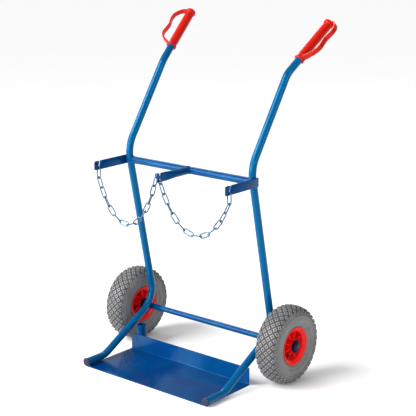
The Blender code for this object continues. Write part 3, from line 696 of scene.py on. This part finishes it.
def grips():
    """Moulded grips: each sleeve with its knuckle guard, wider where the guard joins it."""
    middle = smooth_line(GUARD, 5)
    count, flare = len(middle), 8
    scales = [1.0 + 0.22 * max(0, 1 - min(i, count - 1 - i) / flare) for i in range(count)]
    for label, side in SIDES.items():
        matrix = handle_axes(side)
        path = [matrix @ Vector((out, 0, height)) for out, height in middle]
        band = sweep(path, guard_section(), side=matrix.col[1].xyz, scales=scales)
        verts, faces = join(lathe(SLEEVE, 48, matrix, closed=False), band)
        piece(f"handle_grip_{label}", verts, faces, GRIP_RED, "frame", f"grip_{label}", smooth=50)


# ------------------------------------------------------------------ wheels
def wheel_axes(label, facing=1):
    """A wheel's axes, with Z along the axle; facing is 1 towards +X and -1 towards -X."""
    turn = Matrix.Rotation(math.radians(VALVE_ANGLE[label]), 4, "Z")
    matrix = axes(at(SIDES[label] * WHEEL_X, 0, WHEEL_R), *SIDE_VIEW) @ turn
    return matrix if facing > 0 else matrix @ Matrix.Rotation(math.pi, 4, "X")


def valve_seat(label):
    """Where the valve leaves the rim, with Z along its leaning stem."""
    lean = Matrix.Rotation(math.radians(-39), 4, "Y")
    return wheel_axes(label) @ Matrix.Translation((0.0515, 0, 0.0080)) @ lean


# (radius, half width) of the tyre: the crown over the tread, the side down to the bead, and the inside
CROWN = [(0.1300, 0.0), (0.1294, 0.0110), (0.1275, 0.0220), (0.1250, 0.0290), (0.1212, 0.0345)]
CROWN += [(0.1170, 0.0380), (0.1120, 0.0402), (0.1060, 0.0416), (0.1000, 0.0424)]
GROOVE_FLOOR = [(0.1269, 0.0), (0.1246, 0.0210), (0.1188, 0.0320), (0.1105, 0.0374), (0.1052, 0.0392)]
SIDEWALL = [(0.1040, 0.0404), (0.1030, 0.0420), (0.1010, 0.0425), (0.0988, 0.0419), (0.0976, 0.0400)]
SIDEWALL += [(0.0950, 0.0404), (0.0900, 0.0412), (0.0840, 0.0412), (0.0800, 0.0402), (0.0785, 0.0380)]
SIDEWALL += [(0.0760, 0.0382), (0.0720, 0.0378), (0.0690, 0.0366), (0.0666, 0.0350), (0.0645, 0.0325)]
SIDEWALL += [(0.0602, 0.0300), (0.0530, 0.0254), (0.0505, 0.0205)]
TYRE_INSIDE = [(0.0505, 0.0170), (0.0600, 0.0225), (0.0720, 0.0300), (0.0950, 0.0345), (0.1080, 0.0300)]
TYRE_INSIDE += [(0.1170, 0.0190), (0.1215, 0.0)]
TREAD_DEPTH = 0.0030
TREAD_REPEATS = 34
TREAD_STEP = 2 * math.pi / TREAD_REPEATS
TREAD_PITCH = 0.0120  # between rows of diamonds


class TyreSurface:
    """Points on the tyre's crown by turn, arc length from the middle, and height over the grooves."""

    def __init__(self):
        line = np.array(smooth_line([(z, r) for r, z in CROWN], 8))
        steps = np.linalg.norm(np.diff(line, axis=0), axis=1)
        self.length = np.concatenate([[0], np.cumsum(steps)])
        tangent = np.gradient(line, axis=0)
        tangent /= np.linalg.norm(tangent, axis=1)[:, None]
        self.z, self.r = line[:, 0], line[:, 1]
        self.nz, self.nr = -tangent[:, 1], tangent[:, 0]

    def point(self, turn, across, height):
        s, sign = abs(across), math.copysign(1, across)
        z, r, nz, nr = (np.interp(s, self.length, a) for a in (self.z, self.r, self.nz, self.nr))
        lift = height - TREAD_DEPTH
        radius = r + nr * lift
        return Vector((radius * math.cos(turn), radius * math.sin(turn), sign * (z + nz * lift)))

    def block(self, turn, across, outline, levels):
        """A block on the tyre: the outline at each (scale, height) level, closed by its last loop."""
        rings = []
        for scale, height in levels:
            ring = [(turn + du * scale / WHEEL_R, across + dv * scale) for du, dv in outline]
            rings.append([self.point(angle, place, height) for angle, place in ring])
        return loft(rings, open_start=True)


def polygon(corners, per_side):
    """The corners' outline, with each side in equal steps so that a block can bend round the tyre."""
    points = []
    for a, b in zip(corners, corners[1:] + corners[:1]):
        for i in range(per_side):
            t = i / per_side
            points.append((a[0] + (b[0] - a[0]) * t, a[1] + (b[1] - a[1]) * t))
    return points


def diamonds(surface):
    """Seven rows of hollow diamond blocks, every other row shifted by half a step."""
    reach, depth = TREAD_PITCH - 0.0038, TREAD_DEPTH
    outline = polygon([(reach, 0), (0, reach), (-reach, 0), (0, -reach)], 4)
    levels = [(1.03, -0.0004), (0.97, depth * 0.82), (0.92, depth * 0.97), (0.86, depth)]
    levels += [(0.50, depth), (0.45, depth * 0.9), (0.42, depth * 0.25), (0.10, depth * 0.20)]
    blocks = []
    for row in range(-3, 4):
        for i in range(TREAD_REPEATS):
            turn = (i + 0.5 * (row % 2)) * TREAD_STEP
            blocks.append(surface.block(turn, row * TREAD_PITCH, outline, levels))
    return blocks


def shoulder_lugs(surface):
    """Pointed lugs down both shoulders, long and short by turns."""
    levels = [(1.0, -0.0004), (0.93, TREAD_DEPTH * 0.85), (0.84, TREAD_DEPTH)]
    blocks = []
    for sign in (-1, 1):
        for i in range(2 * TREAD_REPEATS):
            near, far, wide = (0.0480, 0.0530, 0.0042) if i % 2 else (0.0405, 0.0560, 0.0034)
            corners = [(-wide, far), (wide, far), (wide, near + 0.002), (0, near), (-wide, near + 0.002)]
            middle = (near + far) / 2
            corners = [(u, (v - middle) * sign) for u, v in corners][:: -sign]
            blocks.append(surface.block(i * TREAD_STEP / 2, sign * middle, polygon(corners, 2), levels))
    return blocks


def shade_tread(item, matrix, surface):
    """Gives the tops of the blocks lighter rubber as painted light, and the grooves and hollows darker
    rubber as painted shade.
    """
    item.data.materials.append(LIT_TREAD_RUBBER)
    item.data.materials.append(SHADED_GROOVE_RUBBER)
    lit_top, groove = 1, 2  # places in the piece's list of materials
    end, lowest = 0.055, 0.115  # the tread's arc length from the middle, and its smallest radius
    back = matrix.inverted()
    shoulder = surface.z[np.searchsorted(surface.length, end)]
    for face in item.data.polygons:
        centre = back @ face.center
        radius, across = math.hypot(centre.x, centre.y), abs(centre.z)
        crown = np.interp(across, surface.z, surface.r)
        if across < shoulder and radius > lowest:
            # Faces low in the tread get the darker rubber, painted shade in the grooves and hollows.
            face.material_index = lit_top if radius > crown - TREAD_DEPTH * 0.35 else groove


def tyres():
    """Each tyre's closed casing with the tread blocks on it."""
    half = [tuple(p) for p in smooth_line(GROOVE_FLOOR, 4)] + SIDEWALL + TYRE_INSIDE
    profile = half + [(r, -z) for r, z in half[-2:0:-1]]
    surface = TyreSurface()
    local_verts, faces = join(lathe(profile, 144), *diamonds(surface), *shoulder_lugs(surface))
    for label in SIDES:
        matrix = wheel_axes(label)
        verts = [matrix @ v for v in local_verts]
        body = f"wheel_{label}"
        item = piece(f"tyre_cover_{label}", verts, faces, RUBBER, body, f"tyre_{label}", smooth=38)
        shade_tread(item, matrix, surface)


# (radius, half width) of a rim half: rolled lip, web, hub, the flat face at the split, and the seat's back
RIM = [(0.0635, 0.0345), (0.0610, 0.0345), (0.0585, 0.0334), (0.0530, 0.0305), (0.0498, 0.0288)]
RIM += [(0.0480, 0.0250), (0.0462, 0.0120), (0.0445, 0.0060), (0.0400, 0.0050), (0.0245, 0.0055)]
RIM += [(0.0228, 0.0080), (0.0215, 0.0335), (0.0210, 0.0340), (0.0154, 0.0340), (0.0154, 0.0002)]
RIM += [(0.0498, 0.0002), (0.0498, 0.0215), (0.0525, 0.0265), (0.0600, 0.0308), (0.0635, 0.0330)]
RIB = [(0.0215, 0.002), (0.0485, 0.002), (0.0485, 0.0235), (0.0440, 0.0205), (0.0215, 0.0240)]
VALVE_COLLAR = [(0.0043, 0.004), (0.0062, 0.004), (0.0062, 0.0085), (0.0056, 0.0093), (0.0043, 0.0093)]


def rims():
    """Rim halves with their ribs; the half that faces +X has the collar round the valve."""
    ribs = 8
    for label, side in SIDES.items():
        for facing in (1, -1):
            matrix = wheel_axes(label, facing)
            parts = [lathe(soften(RIM, 0.0010), 72, matrix)]
            for i in range(ribs):
                turn = Matrix.Rotation(2 * math.pi * (i + 0.5) / ribs, 4, "Z")
                upright = turn @ Matrix.Rotation(math.pi / 2, 4, "X")
                parts.append(slab(RIB, 0.0036, matrix @ upright, bevel=0.0007))
            if facing > 0:
                parts.append(lathe(VALVE_COLLAR, 24, valve_seat(label)))
            verts, faces = join(*parts)
            place = "outer" if facing == side else "inner"
            name = f"rim_{place}_disc_{label}"
            piece(name, verts, faces, RIM_RED, f"wheel_{label}", f"rim_{place}_{label}")


# ------------------------------------------------------------------ hubs
# (radius, height) along the valve's stem, then (radius, distance from the wheel's middle) for the rest
STEM = [(0, 0.0285), (0.0022, 0.0284), (0.0030, 0.0278), (0.0034, 0.0262), (0.0034, 0.0195)]
STEM += [(0.0031, 0.0190), (0.0027, 0.0188), (0.0027, 0.0150), (0.0036, 0.0144), (0.0041, 0.0120)]
STEM += [(0.0041, 0.0), (0, 0.0)]
BUSH = [(0.0102, 0.0362), (0.0110, 0.0368), (0.0150, 0.0368), (0.0158, 0.0362), (0.0190, 0.0362)]
BUSH += [(0.0200, 0.0366), (0.0210, 0.0364), (0.0218, 0.0356), (0.0218, 0.0344), (0.0150, 0.0344)]
BUSH += [(0.0150, 0.0082), (0.0102, 0.0082)]
WASHER = [(0.0103, 0.0372), (0.0159, 0.0372), (0.0159, 0.0382), (0.0103, 0.0382)]
CAP = [(0, 0.0444), (0.0040, 0.0443), (0.0075, 0.0438), (0.0100, 0.0430), (0.0114, 0.0418)]
CAP += [(0.0121, 0.0404), (0.0124, 0.0398), (0.0138, 0.0397), (0.0142, 0.0394), (0.0142, 0.0387)]
CAP += [(0.0103, 0.0387), (0.0103, 0.0420), (0, 0.0420)]


def valve(label):
    """A valve stem with a ribbed dust cap."""
    seat = valve_seat(label)
    parts = [lathe(STEM, 24, seat, closed=False)]
    section = rounded_box(0.0008, 0.0010, 0.0003, 2)
    ribs, radius, middle, half = 10, 0.0033, 0.0230, 0.0028
    for i in range(ribs):
        a = 2 * math.pi * i / ribs
        rib = Matrix.Translation((radius * math.cos(a), radius * math.sin(a), middle))
        place = seat @ rib @ Matrix.Rotation(a, 4, "Z")
        parts.append(sweep([place @ Vector((0, 0, z)) for z in (-half, half)], section))
    verts, faces = join(*parts)
    piece(f"valve_stem_{label}", verts, faces, BLACK_RUBBER, f"wheel_{label}", f"valve_{label}")


def bushes(label, side):
    """The flanged bushes in both ends of a hub."""
    for facing in (1, -1):
        verts, faces = lathe(soften(BUSH, 0.0004, 2), 48, wheel_axes(label, facing))
        place = "outer" if facing == side else "inner"
        name = f"hub_bush_{place}_{label}"
        piece(name, verts, faces, HUB_BLACK, f"wheel_{label}", f"bush_{place}_{label}")


def axle_end(label, side):
    """The washer and the push-on cap on an axle end."""
    outward = wheel_axes(label, side)
    verts, faces = lathe(soften(WASHER, 0.0002, 2), 48, outward)
    piece(f"axle_washer_{label}", verts, faces, HUB_BLACK, "frame", f"washer_{label}")
    verts, faces = lathe(CAP, 48, outward, closed=False)
    piece(f"axle_end_cap_{label}", verts, faces, CAP_BLACK, "frame", f"axle_cap_{label}")


def hubs():
    for label, side in SIDES.items():
        valve(label)
        bushes(label, side)
        axle_end(label, side)


def inner_tubes():
    """The hidden inner tubes stay as they are in the CAD, with a material of their own."""
    for label in SIDES:
        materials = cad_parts[f"inner_tube_{label}"].data.materials
        materials.clear()
        materials.append(BLACK_RUBBER)


# ------------------------------------------------------------------ chains
def link_line():
    """A link's middle line in its own plane: half circles joined by straight sides."""
    bend = 0.0069
    half = (LINK_LENGTH + WIRE) / 2 - bend
    line = arc((half, 0), bend, -90, 90, 12) + [(half * (1 - t / 4), bend) for t in range(1, 8)]
    line += arc((-half, 0), bend, 90, 270, 12) + [(half * (t / 4 - 1), -bend) for t in range(1, 8)]
    return line


def link_axes(node):
    """The axes of a CAD link, from its own points: X along the link, Y across it."""
    points = np.array([v.co[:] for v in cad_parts[node].data.vertices])
    mean, centre = points.mean(axis=0), (points.max(axis=0) + points.min(axis=0)) / 2
    if np.linalg.norm(mean - centre) < 0.002:
        centre = mean
    vectors = np.linalg.eigh(np.cov((points - centre).T))[1]
    along, across = Vector(vectors[:, 2]), Vector(vectors[:, 1])
    return axes(centre, along, across, along.cross(across))


def chain_links():
    """A smooth link with its weld's swelling in the place of each CAD link."""
    line, swelling = link_line(), 0.0016
    scales = [1.0 + 0.16 * math.exp(-((x / swelling) ** 2)) * (y > 0) for x, y in line]
    names = {f"link_{label}_{i:02d}": f"chain_{label}" for label in SIDES for i in range(1, 14)}
    names |= {"end_link_left": "frame", "end_link_right": "frame", "centre_link": "frame"}
    for node, body in names.items():
        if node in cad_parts:
            matrix = link_axes(node)
            path = [matrix @ Vector((x, y, 0)) for x, y in line]
            normal = matrix.col[2].xyz
            verts, faces = sweep(path, circle(WIRE / 2, 12), closed=True, scales=scales, side=normal)
            piece(f"chain_{node}", verts, faces, CHAIN, body, node, smooth=80)


# ------------------------------------------------------------------ studio
def link_in(name, data):
    """A new object in the scene."""
    item = bpy.data.objects.new(name, data)
    bpy.context.scene.collection.objects.link(item)
    return item


def softbox(name, direction, distance, size, radiance):
    """A panel that faces the cart from a direction; its radiance is what a mirror would show."""
    light = bpy.data.lights.new(name, "AREA")
    light.shape = "RECTANGLE"
    light.size, light.size_y = size
    light.energy = radiance * math.pi * size[0] * size[1]
    away = Vector(direction).normalized()
    item = link_in(name, light)
    item.location = Vector((0, 0, 0.5)) + away * distance
    item.rotation_euler = away.to_track_quat("Z", "Y").to_euler()
    item.visible_camera = False


def ground():
    """A plain floor out to the horizon, just under the cart."""
    reach = 400
    mesh = bpy.data.meshes.new("floor")
    corners = [(-reach, -reach, 0), (reach, -reach, 0), (reach, reach, 0), (-reach, reach, 0)]
    mesh.from_pydata(corners, [], [(0, 1, 2, 3)])
    mesh.materials.append(studio_paint())
    floor = link_in("floor", mesh)
    floor.location.z = -0.0003


def sky():
    """Even white light all round, and one broad soft light from the front left."""
    world = bpy.data.worlds.new("studio")
    world.use_nodes = True
    background = world.node_tree.nodes["Background"]
    background.inputs["Color"].default_value = (1.0, 1.0, 1.0, 1.0)
    background.inputs["Strength"].default_value = 0.42
    bpy.context.scene.world = world
    sun = bpy.data.lights.new("sky_panel", "SUN")
    sun.energy = 3.1
    sun.angle = math.radians(35)
    item = link_in("sky_panel", sun)
    item.rotation_euler = Vector((0.50, 0.90, -0.85)).to_track_quat("-Z", "Y").to_euler()


def studio():
    ground()
    sky()
    softbox("strip_left", (-0.62, -0.76, 0.20), 4.0, (1.1, 1.6), 14)
    softbox("strip_front", (-0.05, -0.98, 0.20), 4.0, (1.1, 1.6), 13)
    softbox("strip_top", (-0.62, -0.45, 0.64), 4.0, (1.2, 0.22), 16)
    softbox("key", (0.61, -0.70, 0.36), 4.0, (0.9, 0.4), 14)
    softbox("back_top", (-0.62, 0.47, 0.62), 4.5, (1.3, 1.3), 6)
    softbox("side_right", (0.97, 0.10, 0.30), 4.0, (0.6, 1.6), 9)


def camera():
    """A long lens from the front right, looking a little down."""
    azimuth, elevation, distance = math.radians(39.86), math.radians(14.51), 4.086
    focus = Vector((0.0236, 0.0020, 0.5407))
    flat = math.cos(elevation)
    back = Vector((math.sin(azimuth) * flat, -math.cos(azimuth) * flat, math.sin(elevation)))
    data = bpy.data.cameras.new("camera")
    data.sensor_width = 36
    data.lens = 107.065
    data.clip_end = 1000
    item = link_in("camera", data)
    item.location = focus + back * distance
    item.rotation_euler = back.to_track_quat("Z", "Y").to_euler()
    bpy.context.scene.camera = item


camera()
studio()
side_tubes()
cross_pieces()
flat_arms()
middle_arm()
toe_plate()
plate_welds()
rod_holder()
end_plugs()
grips()
tyres()
rims()
hubs()
chain_links()
inner_tubes()

bpy.context.scene.view_settings.view_transform = "Standard"
